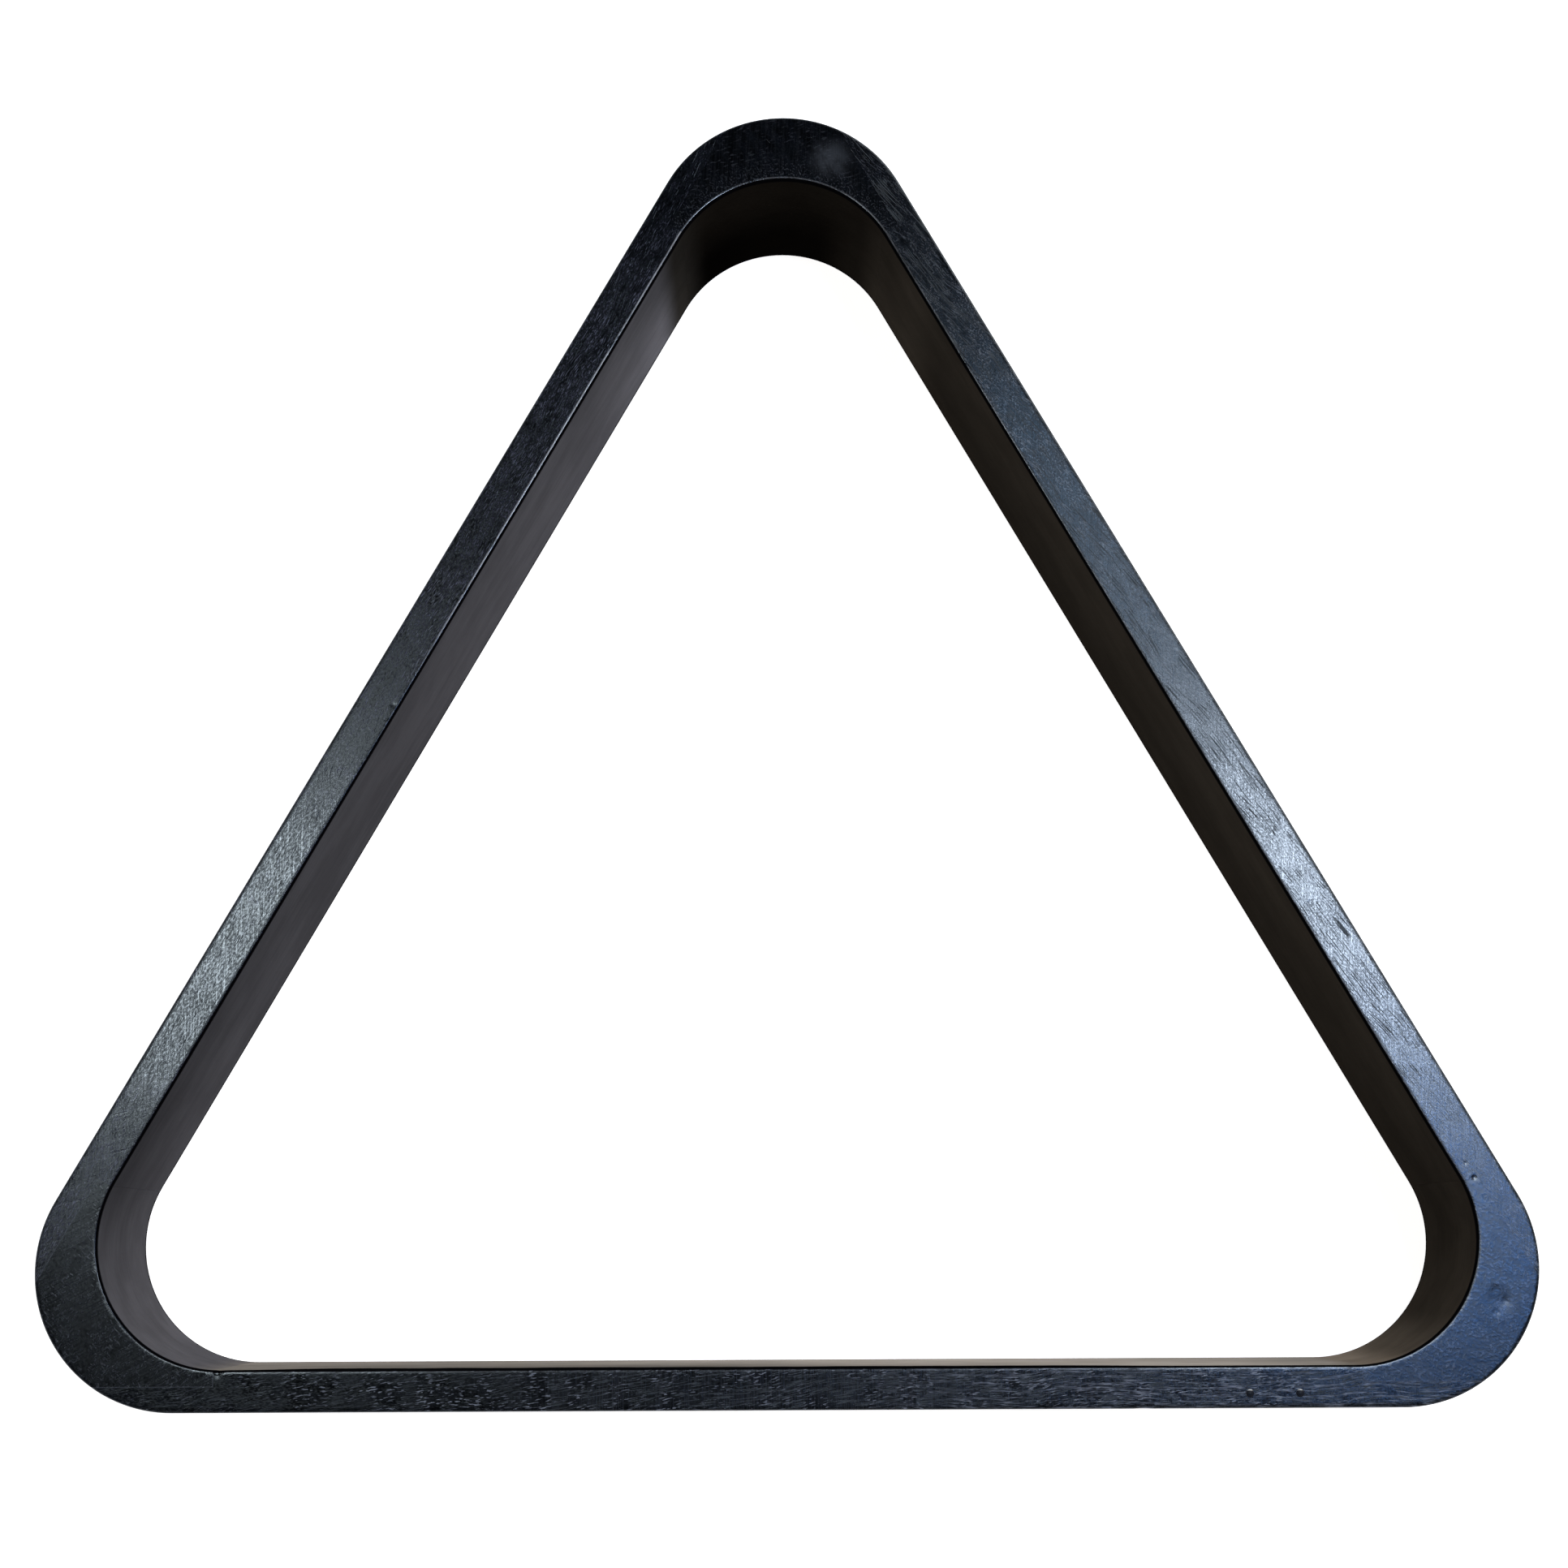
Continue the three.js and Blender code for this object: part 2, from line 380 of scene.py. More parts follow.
class Shader:
    """A material's nodes, added and linked one call at a time. Lengths in its patterns are millimetres."""

    def __init__(self, name):
        self.material = bpy.data.materials.new(name)
        self.material.use_nodes = True
        self.nodes = self.material.node_tree.nodes
        self.links = self.material.node_tree.links
        self.nodes.clear()

    def add(self, kind, inputs, **settings):
        node = self.nodes.new(kind)
        for key, value in settings.items():
            setattr(node, key, value)
        for key, value in inputs.items():
            if isinstance(value, bpy.types.NodeSocket):
                self.links.new(value, node.inputs[key])
            else:
                node.inputs[key].default_value = value
        return node

    def place(self, turn=0.0):
        """Millimetres along, across and through a face, for a piece turned from the bottom rail's side."""
        where = self.add("ShaderNodeTexCoord", {}).outputs["Object"]
        middle = Vector((0, MIDDLE_Y / MM, 0))
        middle.rotate(Euler((0, 0, -turn)))
        inputs = {"Vector": where, "Location": -middle, "Rotation": (0, 0, -turn), "Scale": (1 / MM,) * 3}
        flat = self.add("ShaderNodeMapping", inputs).outputs["Vector"]
        parts = self.add("ShaderNodeSeparateXYZ", {"Vector": flat}).outputs
        inputs = {"X": self.attribute("along"), "Y": parts["Z"], "Z": parts["Y"]}
        upright = self.add("ShaderNodeCombineXYZ", inputs).outputs["Vector"]
        return self.blend(self.facing_up(), upright, flat)

    def swayed(self, vector, reach, length, shift):
        """The same place moved across the grain by up to a reach, so that lines along the grain wander."""
        wander = self.noise(vector, (length, length, length), 0.0, shift=shift)
        sway = self.step(wander, *WANDER_RANGE, -reach, reach)
        move = self.add("ShaderNodeCombineXYZ", {"X": 0.0, "Y": sway, "Z": 0.0}).outputs["Vector"]
        return self.add("ShaderNodeVectorMath", {0: vector, 1: move}, operation="ADD").outputs["Vector"]

    def turned(self, vector, angle):
        inputs = {"Vector": vector, "Rotation": (0, 0, angle)}
        return self.add("ShaderNodeMapping", inputs).outputs["Vector"]

    def noise(self, vector, size, detail=2.0, roughness=0.5, shift=0.0):
        """Noise whose features are about size millimetres long in X, Y and Z."""
        scale = tuple(1 / s for s in size)
        inputs = {"Vector": vector, "Scale": scale, "Location": (shift, -shift, shift / 2)}
        stretched = self.add("ShaderNodeMapping", inputs).outputs["Vector"]
        inputs = {"Vector": stretched, "Scale": 1.0, "Detail": detail, "Roughness": roughness}
        return self.add("ShaderNodeTexNoise", inputs).outputs["Fac"]

    def strokes(self, vector, angle, size, start, soft, shift):
        """Short lines of a length and width that lie at an angle to the grain."""
        size = (*size, STROKE_DEPTH * size[1])
        streaks = self.noise(self.turned(vector, -angle), size, 1.0, shift=shift)
        return self.step(streaks, start, start + soft)

    def since(self, x, start):
        """0 before a place along the rail, 1 well after it."""
        return self.step(x, start, start + CHANGE_LENGTH)

    def step(self, value, low, high, to_low=0.0, to_high=1.0):
        """A soft step from one value to another. Low may be above high, for a step down."""
        inputs = {"Value": value, "From Min": low, "From Max": high, "To Min": to_low, "To Max": to_high}
        return self.add("ShaderNodeMapRange", inputs, interpolation_type="SMOOTHSTEP").outputs["Result"]

    def math(self, operation, first, second=0.0):
        node = self.nodes.new("ShaderNodeMath")
        node.operation = operation
        for socket, value in zip(node.inputs, (first, second)):
            if isinstance(value, bpy.types.NodeSocket):
                self.links.new(value, socket)
            else:
                socket.default_value = value
        return node.outputs["Value"]

    def times(self, first, second):
        return self.math("MULTIPLY", first, second)

    def plus(self, first, second):
        return self.math("ADD", first, second)

    def minus(self, first, second):
        return self.math("SUBTRACT", first, second)

    def axis(self, vector, name):
        return self.add("ShaderNodeSeparateXYZ", {"Vector": vector}).outputs[name]

    def bump(self, height, depth):
        """A normal for a height from 0 to 1 that stands for a depth."""
        inputs = {"Height": height, "Distance": depth, "Strength": 1.0}
        return self.add("ShaderNodeBump", inputs).outputs["Normal"]

    def blend(self, share, first, second):
        node = self.nodes.new("ShaderNodeMix")
        node.data_type = "RGBA"
        for key, value in (("Factor_Float", share), ("A_Color", first), ("B_Color", second)):
            socket = next(s for s in node.inputs if s.identifier == key)
            if isinstance(value, bpy.types.NodeSocket):
                self.links.new(value, socket)
            else:
                socket.default_value = value
        return next(s for s in node.outputs if s.identifier == "Result_Color")

    def ramp(self, value, stops):
        """A colour that changes from stop to stop along a value."""
        colour = stops[0][1]
        for (start, _), (end, after) in zip(stops, stops[1:]):
            colour = self.blend(self.step(value, start, end), colour, after)
        return colour

    def attribute(self, name):
        return self.add("ShaderNodeAttribute", {}, attribute_name=name).outputs["Fac"]

    def facing_up(self):
        """1 on the upper and under faces, 0 on the walls."""
        normal = self.add("ShaderNodeNewGeometry", {}).outputs["True Normal"]
        up = self.axis(normal, "Z")
        return self.step(self.math("ABSOLUTE", up), *FACING_UP_RANGE)

    def finish(self, **inputs):
        """The surface itself. A number here is set on the shader's own socket."""
        named = {key.replace("_", " "): value for key, value in inputs.items()}
        surface = self.add("ShaderNodeBsdfPrincipled", named)
        self.add("ShaderNodeOutputMaterial", {"Surface": surface.outputs["BSDF"]})
        return self.material


# Sizes of a face's patterns in mm along, across and through it, and of its long marks in mm along and across
PATCH_SIZE = (7, 6, 7)
GLOW_SIZE = (2.6, 1.3, 2.6)
MOTTLE_SIZE = (5, 2.5, 5)
SANDING_SIZE = (13, 0.19)
CROSS_SANDING_SIZE = (11, 0.2)
FIBRE_SIZE = (5, 0.24)
FACE_BUMP = 0.012 * MM

# How far the grain wanders, and over what length, in mm
SWAY_REACH = 0.7
SWAY_LENGTH = 15

# The range of noise over which each mark comes in, from its start to its end, and how strong it is at both
GLOW_RANGE = (0.32, 0.68, 0.25, 1.0)
FLECK_PATCHES = (0.64, 0.44)
SPECK_RANGE = (0.52, 0.64)
SPECK_PATCHES = (0.36, 0.6)
PORE_SOFT = 0.04
PORE_PATCHES = (0.40, 0.52)
SANDING_START = 0.50
CROSS_SANDING_START = 0.54
FIBRE_START = 0.53
LINE_SOFT = 0.10
STAIN_RANGE = (0.35, 0.7)
EDGE_SPECKLE_RANGE = (0.52, 0.66)
BLOTCH_RANGE = (0.3, 0.6, 0.4, 1.0)
EDGE_HIGHLIGHT_RANGE = (0.3, 0.5)
SEAM_RANGE = (0.3, 0.6, 0.2, 1.0)
FINE_GLOSS_RANGE = (0.34, 0.66)
PATCH_GLOSS_RANGE = (0.36, 0.64)

# Distances in mm at which a mark begins and is at its strongest: the pale speckles and the painted highlight
# along the hollow's edge from that edge, a blotch from its middle, a glue line from the seam, and the length
# along a rail over which the painted highlight ends
EDGE_SPECKLE_REACH = (6.0, 0.6)
EDGE_HIGHLIGHT_REACH = (0.74, 0.62)
BLOTCH_REACH = (6.0, 1.0)
SEAM_REACH = (0.16, 0.06)
EDGE_HIGHLIGHT_FADE = 30

# How much of the marks goes where the stain is plain, how dark and how dull pores are, and how high each
# mark stands
PLAIN_SHARE = 0.7
PORE_STRENGTH = 0.9
PORE_DULLNESS = 0.3
PORE_HEIGHT = -0.8
LINE_HEIGHT = -0.3
FLECK_HEIGHT = 0.3
MOTTLE_HEIGHT = 0.8

# Colours that all faces share
PORE_BLACK = rgb(0.001, 0.001, 0.0015)
# The colour of the painted highlight along the hollow's edge
EDGE_HIGHLIGHT = rgb(0.23, 0.225, 0.235)
GLUE_LINE_GREY = rgb(0.13, 0.14, 0.17)
SATIN_TINT = rgb(0.80, 0.90, 1.0)


def face_marks(s, p, look):
    """How strong a face's marks are, and the noise under them. The stain is plain where most of them fade."""
    seed = look["seed"]
    x = s.axis(p, "X")
    grain = s.swayed(p, SWAY_REACH, SWAY_LENGTH, seed + 29)
    patches = s.noise(p, PATCH_SIZE, detail=2.0, shift=seed)
    glow = s.step(s.noise(p, GLOW_SIZE, shift=seed + 31), *GLOW_RANGE)
    mottle = s.noise(p, MOTTLE_SIZE, detail=4.0, roughness=0.6, shift=seed + 11)
    fine = s.noise(p, (*look["fine_size"], look["fine_size"][1]), detail=2.0, shift=seed + 13)

    start, soft = look["fleck_start"], look["fleck_soft"]
    flecks = s.strokes(grain, look["fleck_angle"], look["fleck_size"], start, soft, seed + 7)
    flecks = s.times(s.times(flecks, s.step(patches, *FLECK_PATCHES)), glow)
    flecks = s.times(flecks, s.step(x, look["flecks_until"] + CHANGE_LENGTH / 2, look["flecks_until"]))
    specks = s.times(s.step(fine, *SPECK_RANGE), s.step(mottle, *SPECK_PATCHES))
    start, soft = look["pore_start"], PORE_SOFT
    pores = s.strokes(grain, look["pore_angle"], look["pore_size"], start, soft, seed + 3)
    pores = s.times(s.times(pores, s.step(patches, *PORE_PATCHES)), s.since(x, look["pores_from"]))
    lines = s.strokes(p, look["line_angle"], SANDING_SIZE, SANDING_START, LINE_SOFT, seed + 17)
    lines = s.times(lines, s.since(x, look["lines_from"]))
    start, soft = CROSS_SANDING_START, LINE_SOFT
    cross_lines = s.strokes(p, look["cross_angle"], CROSS_SANDING_SIZE, start, soft, seed + 19)
    lines = s.plus(lines, s.times(cross_lines, s.since(x, look["cross_from"])))
    fibres = s.strokes(grain, 0.0, FIBRE_SIZE, FIBRE_START, LINE_SOFT, seed + 23)
    fibres = s.times(s.times(fibres, s.since(x, look["fibres_from"])), glow)

    plain = s.step(x, look["plain_from"], look["plain_to"])
    marked = s.minus(1.0, s.times(plain, PLAIN_SHARE))
    return {
        "patches": patches,
        "mottle": mottle,
        "fine": fine,
        "pores": pores,
        "plain": plain,
        "flecks": s.times(flecks, marked),
        "specks": s.times(specks, marked),
        "lines": s.times(lines, marked),
        "fibres": s.times(fibres, marked),
    }


def face_stain(s, p, marks, look):
    """The colour of a face: dark stain under its marks, a pale blotch and glue lines, and a painted highlight
    along the hollow's edge, as a pale line and pale speckles.
    """
    x = s.axis(p, "X")
    mottle, fine = marks["mottle"], marks["fine"]
    stain = s.blend(s.step(mottle, *STAIN_RANGE), look["dark"], look["light"])
    for kind in ("speck", "fibre", "line", "fleck"):
        stain = s.blend(s.times(marks[kind + "s"], look[kind + "_strength"]), stain, look["fleck"])
    stain = s.blend(s.times(marks["pores"], PORE_STRENGTH), stain, PORE_BLACK)
    from_rim = s.attribute("from_rim")
    # Painted highlight: pale speckles along the hollow's edge
    edge_speckles = s.times(s.step(from_rim, *EDGE_SPECKLE_REACH), s.step(fine, *EDGE_SPECKLE_RANGE))
    stain = s.blend(s.times(edge_speckles, look["edge_speckles"]), stain, look["fleck"])
    inputs = {0: p, 1: look["blotch_at"]}
    from_blotch = s.add("ShaderNodeVectorMath", inputs, operation="DISTANCE").outputs["Value"]
    blotch = s.times(s.step(from_blotch, *BLOTCH_REACH), s.step(mottle, *BLOTCH_RANGE))
    stain = s.blend(s.times(blotch, look["blotch"]), stain, look["fleck"])
    # Painted highlight: a pale line along the hollow's edge where its rounding catches the lamps, ending at a
    # place along the rail
    edge_highlight = s.times(s.step(from_rim, *EDGE_HIGHLIGHT_REACH), s.step(mottle, *EDGE_HIGHLIGHT_RANGE))
    edge_highlight = s.times(edge_highlight, s.step(x, look["edge_highlight_until"], look["edge_highlight_until"] - EDGE_HIGHLIGHT_FADE))
    stain = s.blend(s.times(edge_highlight, look["edge_highlight"]), stain, EDGE_HIGHLIGHT)
    seam = s.times(s.step(s.attribute("from_seam"), *SEAM_REACH), s.step(fine, *SEAM_RANGE))
    return s.blend(s.times(seam, look["seam"]), stain, GLUE_LINE_GREY)


def face_roughness(s, p, marks, look):
    """How rough a face's satin is, with glossier lines and fibres and dull pores."""
    duller, glossier = look["rough"] + look["fine_gloss"], look["rough"] - look["fine_gloss"]
    patch = look["patch_gloss"]
    rough = s.step(marks["fine"], *FINE_GLOSS_RANGE, duller, glossier)
    rough = s.plus(rough, s.times(marks["lines"], look["line_gloss"]))
    rough = s.plus(rough, s.times(marks["fibres"], look["fibre_gloss"]))
    rough = s.plus(rough, s.times(marks["pores"], PORE_DULLNESS))
    rough = s.plus(rough, s.step(marks["patches"], *PATCH_GLOSS_RANGE, -patch, patch))
    rough = s.plus(rough, s.times(s.since(s.axis(p, "X"), look["duller_from"]), look["duller"]))
    return s.plus(rough, s.times(marks["plain"], look["plain_gloss"]))


def face_height(s, marks, look):
    """How high a face's grain stands: pores and sanding lines sink, flecks stand a little proud."""
    height = s.times(marks["pores"], PORE_HEIGHT)
    heights = {"lines": LINE_HEIGHT, "flecks": FLECK_HEIGHT, "fine": look["grit"], "mottle": MOTTLE_HEIGHT}
    for mark, share in heights.items():
        height = s.plus(height, s.times(marks[mark], share))
    return height


def face_wood(name, turn, look):
    """Black-stained, satin wood: pale flecks and dark pores along the grain, sanding lines, and a painted
    highlight along the hollow's edge.
    """
    s = Shader(name)
    p = s.place(turn)
    marks = face_marks(s, p, look)
    return s.finish(
        Base_Color=face_stain(s, p, marks, look),
        Roughness=face_roughness(s, p, marks, look),
        Normal=s.bump(face_height(s, marks, look), FACE_BUMP),
        Specular_IOR_Level=0.5,
        Specular_Tint=SATIN_TINT,
    )


# The wall round the hollow in mm: the black rim below its edge, partly the lacquer over the edge and partly
# painted shade on its rounding, and on the bottom rail a deeper black band, whose lower edge is uneven and
# soft, between places round the hollow; and the depths between which the wall's painted light and shade goes
# from its upper to its lower tone
RIM_DEPTH = 1.0
BAND_REACH = (4.5, 7.0)
BAND_STARTS = (-238, -214)
BAND_ENDS = (-66, -34)
BAND_SOFT = 2.0
BAND_END = 2
PAINTED_LIGHT_UPPER_DEPTH = 5
PAINTED_LIGHT_LOWER_DEPTH = 42

# Sizes of the wall's patterns in mm along, up and through it, and how they change its tone
STREAK_SIZE = (30, 1.2, 6)
BLOTCH_SIZE = (14, 11, 9)
WALL_GRAIN_SIZE = (1.2, 0.4, 0.5)
STREAK_TONES = (0.25, 0.75, 0.93, 1.05)
BLOTCH_SPREAD = (0.3, 0.7)
BLOTCH_TONES = (0.9, 1.08)
WALL_BUMP = 0.03 * MM
WALL_ROUGHNESS = 0.8
RIM_BLACK = rgb(0.0015, 0.0015, 0.002)


def hollow_wood_with_painted_light(name, turn, seed):
    """The duller wood of the wall round the hollow, black just below the edge, with light and shade painted
    into its colour: tones that change round the hollow and from its upper to its lower part.
    """
    s = Shader(name)
    p = s.place(turn)
    where = s.attribute("round_hollow")
    height = s.axis(p, "Y")
    top = HEIGHT / MM
    # Painted light and shade: the tones round the hollow, and a change from the wall's upper to its lower
    # tone
    upper = s.ramp(where, [(at, tinted(tint, pale)) for at, pale, _, tint in WALL_PAINTED_LIGHT])
    lower = s.ramp(where, [(at, tinted(tint, pale)) for at, _, pale, tint in WALL_PAINTED_LIGHT])
    colour = s.blend(s.step(height, top - PAINTED_LIGHT_UPPER_DEPTH, top - PAINTED_LIGHT_LOWER_DEPTH), upper, lower)
    streaks = s.noise(p, STREAK_SIZE, detail=3.0, roughness=0.6, shift=seed)
    blotches = s.noise(p, BLOTCH_SIZE, detail=3.0, shift=seed + 3)
    tone = s.times(s.step(streaks, *STREAK_TONES), s.step(blotches, *BLOTCH_SPREAD, *BLOTCH_TONES))
    colour = s.add("ShaderNodeVectorMath", {0: colour, "Scale": tone}, operation="SCALE").outputs["Vector"]
    band = s.times(s.step(where, *BAND_STARTS), s.step(where, *reversed(BAND_ENDS)))
    band = s.times(band, s.step(height, top / 2 - BAND_END, top / 2 + BAND_END))
    # The black rim: partly the lacquer over the edge, partly painted shade on the edge's rounding
    below_rim = s.minus(s.attribute("from_rim"), RIM_DEPTH)
    below_black_rim = s.minus(below_rim, s.times(band, s.step(blotches, *BLOTCH_SPREAD, *BAND_REACH)))
    softness = s.plus(s.times(band, BAND_SOFT), 1.0)
    painted = s.step(s.math("DIVIDE", below_black_rim, softness), 1.0, 0.0)
    fine = s.noise(p, WALL_GRAIN_SIZE, detail=3.0, shift=seed + 5)
    return s.finish(
        Base_Color=s.blend(painted, colour, RIM_BLACK),
        Roughness=WALL_ROUGHNESS,
        Normal=s.bump(fine, WALL_BUMP),
        Specular_IOR_Level=0.0,
    )


# The pins' colours, and where the painted highlight lies: how far beyond the middle in mm the bare steel of
# the painted glint begins and is complete, and the range of noise over which it comes in
PIN_LACQUER = rgb(0.006, 0.008, 0.013)
GLINT_STEEL = rgb(0.78, 0.80, 0.82)
PIN_GRAIN_SIZE = (0.4, 0.4, 0.4)
PIN_GLINT_FROM = 0.5
PIN_GLINT_TO = 0.8
PIN_GLINT_RANGE = (0.2, 0.4)
PIN_BUMP = 0.03 * MM


def pin_paint(name, middle_y, seed):
    """Black lacquer over a steel pin head, with a painted highlight: bare steel on the side towards the apex,
    where the glint falls.
    """
    s = Shader(name)
    p = s.place()
    fine = s.noise(p, PIN_GRAIN_SIZE, detail=3.0, shift=seed)
    # Painted highlight: bare metal where the head's glint falls
    glint = s.step(s.axis(p, "Y"), middle_y + PIN_GLINT_FROM, middle_y + PIN_GLINT_TO)
    glint = s.times(glint, s.step(fine, *PIN_GLINT_RANGE))
    return s.finish(
        Base_Color=s.blend(glint, PIN_LACQUER, GLINT_STEEL),
        Metallic=glint,
        Roughness=0.35,
        Normal=s.bump(fine, PIN_BUMP),
        Specular_IOR_Level=0.15,
    )


# The looks of the faces. Lengths and places along a rail are in mm, and a place far beyond the rail's ends
# turns a change off or on all along it.
FACE = {
    "seed": 1.0,
    "dark": rgb(0.0005, 0.0007, 0.0011),
    "light": rgb(0.0018, 0.0024, 0.004),
    "fleck": rgb(0.17, 0.185, 0.215),
    "fleck_angle": math.radians(18),
    "fleck_size": (1.9, 0.26),
    "fleck_start": 0.59,
    "fleck_soft": 0.07,
    "fleck_strength": 0.5,
    "flecks_until": 1000,
    "speck_strength": 0.06,
    "pore_angle": math.radians(8),
    "pore_size": (5, 0.22),
    "pore_start": 0.58,
    "pores_from": -1000,
    "line_angle": math.radians(-33),
    "line_strength": 0.02,
    "line_gloss": -0.03,
    "lines_from": -1000,
    "cross_angle": math.radians(45),
    "cross_from": 1000,
    "fibre_strength": 0.0,
    "fibre_gloss": 0.0,
    "fibres_from": -1000,
    "edge_highlight": 0.15,
    "edge_highlight_until": 1000,
    "seam": 0.3,
    "edge_speckles": 0.0,
    "blotch": 0.0,
    "blotch_at": (0, 0, 0),
    "rough": 0.22,
    "grit": 0.7,
    "fine_size": (0.6, 0.32),
    "fine_gloss": 0.06,
    "patch_gloss": 0.01,
    "duller_from": 1000,
    "duller": 0.0,
    "plain_from": 1000,
    "plain_to": 1040,
    "plain_gloss": 0.0,
}
BOTTOM = {
    **FACE,
    "seed": 5.0,
    "fleck": rgb(0.175, 0.19, 0.235),
    "fleck_angle": math.radians(8),
    "fleck_size": (1.5, 0.28),
    "fleck_strength": 0.9,
    "flecks_until": 108,
    "speck_strength": 0.05,
    "line_angle": math.radians(90),
    "line_strength": 0.06,
    "lines_from": -80,
    "fibre_strength": 0.65,
    "fibres_from": 10,
    "edge_highlight": 0.05,
    "rough": 0.187,
    "patch_gloss": 0.025,
    "plain_from": -88,
    "plain_to": -125,
}
RIGHT = {
    **FACE,
    "seed": 23.0,
    "fleck_start": 0.57,
    "speck_strength": 0.55,
    "pore_size": (8, 0.21),
    "pore_start": 0.585,
    "pores_from": -120,
    "line_strength": 0.05,
    "line_gloss": -0.06,
    "fibre_gloss": 0.03,
    "rough": 0.215,
    "fine_size": (0.5, 0.3),
    "fine_gloss": 0.08,
    "duller_from": 40,
    "duller": -0.05,
    "plain_from": 85,
    "plain_to": 128,
    "plain_gloss": -0.03,
}
LEFT = {
    **FACE,
    "seed": 41.0,
    "fleck": rgb(0.16, 0.167, 0.23),
    "fleck_angle": 0.0,
    "fleck_size": (1.6, 0.22),
    "speck_strength": 0.25,
    "pore_start": 0.66,
    "line_angle": math.radians(30),
    "line_strength": 0.05,
    "line_gloss": -0.09,
    "lines_from": 0,
    "cross_angle": math.radians(-45),
    "cross_from": 75,
    "fibre_strength": 0.10,
    "fibre_gloss": -0.09,
    # The painted highlight is strongest on the left rail's half towards the apex
    "edge_highlight": 0.85,
    "edge_highlight_until": 0,
    "rough": 0.20,
    "fine_size": (0.75, 0.38),
    "fine_gloss": 0.09,
    "duller_from": -40,
    "duller": 0.045,
    "plain_from": -95,
    "plain_to": -128,
    "plain_gloss": -0.06,
}
BLOCK = {
    **FACE,
    "seed": 61.0,
    "fleck_angle": math.radians(75),
    "fleck_size": (1.4, 0.5),
    "fleck_start": 0.55,
    "fleck_soft": 0.16,
    "fleck_strength": 0.2,
    "speck_strength": 0.16,
    "pore_start": 0.8,
    "fine_size": (0.7, 0.5),
    "fine_gloss": 0.035,
}
RIGHT_BLOCK = {
    **BLOCK,
    "speck_strength": 0.3,
    "edge_highlight": 0.05,
    "rough": 0.20,
    "grit": 1.1,
    "fine_size": (0.8, 0.55),
    "fine_gloss": 0.045,
}
APEX_BLOCK = {
    **BLOCK,
    "seed": 71.0,
    "fleck_strength": 0.1,
    "speck_strength": 0.03,
    "edge_highlight": 0.2,
    # Pale speckles along the hollow's edge on the apex: painted highlight
    "edge_speckles": 0.14,
    "blotch": 0.16,
    "blotch_at": (140.8, -93.5, HEIGHT / MM),
    "rough": 0.13,
    "fine_size": (0.5, 0.38),
    "fine_gloss": 0.02,
}
LEFT_BLOCK = {
    **BLOCK,
    "seed": 81.0,
    "edge_highlight": 0.05,
    "rough": 0.215,
    "duller_from": 108,
    "duller": -0.047,
}

# Painted light and shade on the wall round the hollow: places in mm round it from the right corner, how pale
# its upper and its lower part are there, and the tint.
# The bottom rail's wall carries a painted reflection of the pale floor, the walls of the right corner, the
# right rail and the apex painted shade, and the left rail's and left corner's walls painted light.
# Tints of the painted light and shade: warm in the shaded stretches, pale in the floor's painted reflection,
# cool in the painted light on the left
WARM_PAINTED_LIGHT = (1.0, 0.82, 0.64)
PALE_PAINTED_LIGHT = (1.0, 0.90, 0.79)
COOL_PAINTED_LIGHT = (1.0, 0.97, 1.06)
WALL_PAINTED_LIGHT = [
    (-243, 0.24, 0.225, PALE_PAINTED_LIGHT),
    (-190, 0.15, 0.22, PALE_PAINTED_LIGHT),
    (-145, 0.13, 0.27, PALE_PAINTED_LIGHT),
    (-90, 0.28, 0.33, PALE_PAINTED_LIGHT),
    (-20, 0.38, 0.31, PALE_PAINTED_LIGHT),
    (-5, 0.29, 0.30, PALE_PAINTED_LIGHT),
    (4, 0.175, 0.22, WARM_PAINTED_LIGHT),
    (14, 0.07, 0.085, WARM_PAINTED_LIGHT),
    (27, 0.036, 0.025, WARM_PAINTED_LIGHT),
    (50, 0.024, 0.017, WARM_PAINTED_LIGHT),
    (270, 0.025, 0.0165, WARM_PAINTED_LIGHT),
    (284, 0.033, 0.030, WARM_PAINTED_LIGHT),
    (297, 0.021, 0.029, WARM_PAINTED_LIGHT),
    (307, 0.010, 0.010, WARM_PAINTED_LIGHT),
    (318, 0.0085, 0.0025, WARM_PAINTED_LIGHT),
    (346, 0.0095, 0.0015, WARM_PAINTED_LIGHT),
    (358, 0.020, 0.03, PALE_PAINTED_LIGHT),
    (367, 0.075, 0.15, COOL_PAINTED_LIGHT),
    (377, 0.083, 0.125, COOL_PAINTED_LIGHT),
    (400, 0.075, 0.083, COOL_PAINTED_LIGHT),
    (510, 0.056, 0.052, COOL_PAINTED_LIGHT),
    (590, 0.043, 0.065, COOL_PAINTED_LIGHT),
    (644, 0.105, 0.095, COOL_PAINTED_LIGHT),
    (657, 0.24, 0.22, PALE_PAINTED_LIGHT),
]


# ---------------------------------------------------------------- pieces

def sides(centre):
    """The triangle whose corners are a corner's centre turned to all three corners."""
    x, y = centre
    return np.array([(0, -2 * y), (-x, y), (x, y)])


def in_plan(points):
    """The plan of points of the finished rack, round the middle of the ball triangle."""
    return np.asarray(points)[:, :2] - (0, MIDDLE_Y)


def turned_plan(plan, turn):
    x, y = plan.T
    return np.column_stack([x * math.cos(turn) - y * math.sin(turn), x * math.sin(turn) + y * math.cos(turn)])


def from_hollow(points):
    """How far points are from the wall of the hollow, in millimetres."""
    return (distance_to(in_plan(points), sides(INNER_CENTRE)) - INNER_RADIUS) / MM


def from_rim(points):
    """How far points are from the hollow's nearer long edge, in millimetres."""
    z = np.asarray(points)[:, 2] / MM
    return np.hypot(np.maximum(from_hollow(points), 0), np.maximum(np.minimum(z, HEIGHT / MM - z), 0))


